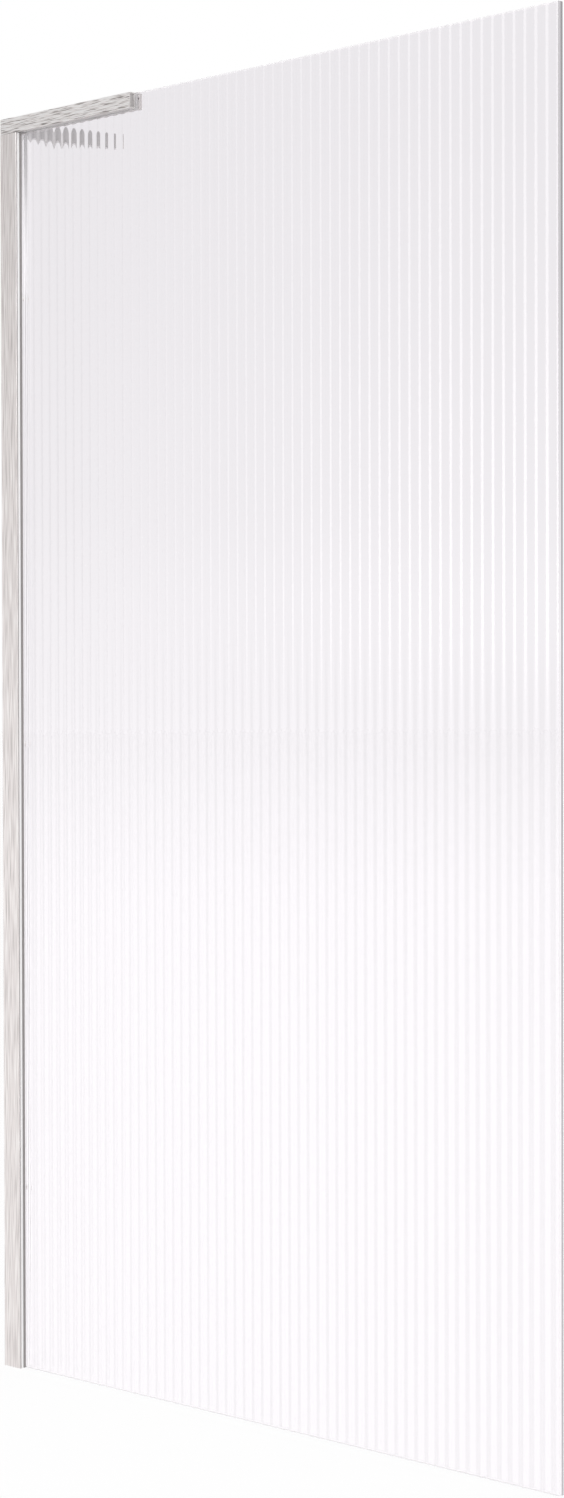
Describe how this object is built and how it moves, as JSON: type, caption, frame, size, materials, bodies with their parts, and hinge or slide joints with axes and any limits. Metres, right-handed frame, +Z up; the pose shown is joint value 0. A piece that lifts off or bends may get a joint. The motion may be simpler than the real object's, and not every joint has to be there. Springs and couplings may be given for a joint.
{
  "type": "bath screen",
  "caption": "Fixed fluted-glass bath screen in a telescoping wall profile, braced at the top by an L-shaped rail with a clamp bar and a wall arm.",
  "frame": {"origin": "where the wall face meets the bath rim, in the middle of the glass's thickness", "axes": "+X from the wall to the free edge of the glass, +Y from the fluted face to the flat bath side, +Z up"},
  "size_m": [0.8, 0.124, 1.4],
  "materials": {
    "fluted_glass": "clear toughened glass, vertically fluted on one face",
    "brushed_nickel": "anodised aluminium in a brushed nickel finish",
    "bright_aluminium": "bright anodised aluminium",
    "dark_rubber": "dark grey extruded rubber",
    "grey_rubber": "grey rubber sheet",
    "grey_plastic": "grey moulded plastic",
    "nylon": "natural nylon",
    "stainless_steel": "satin stainless steel",
    "zinc_casting": "plain die-cast zinc",
    "nickel_plastic": "satin nickel-coloured moulded plastic"
  },
  "bodies": {
    "wall_frame": {"wall_profile": "brushed_nickel", "locking_screws": "stainless_steel", "locking_screw_caps": "nickel_plastic", "corner_block": "zinc_casting", "wall_arm_bracket": "stainless_steel", "corner_screws": "stainless_steel", "wall_arm_cover": "brushed_nickel", "wall_arm_end_cap": "nickel_plastic", "cover_screw": "stainless_steel"},
    "screen": {"glass_panel": "fluted_glass", "glazing_profile": "bright_aluminium", "front_gasket": "dark_rubber", "rear_gasket": "dark_rubber", "glass_edge_packers": "nylon", "rail_tube": "brushed_nickel", "rail_end_plug": "grey_plastic", "rail_clamp_plate": "brushed_nickel", "rail_front_pad": "grey_rubber", "rail_rear_pad": "grey_rubber", "clamp_bolts": "stainless_steel", "clamp_nut_bar": "stainless_steel", "rail_lock_screw": "stainless_steel"}
  },
  "joints": [
    {"name": "width_adjustment", "type": "slide", "parent": "wall_frame", "child": "screen", "axis": [1, 0, 0], "range_m": [0, 0.008]}
  ]
}
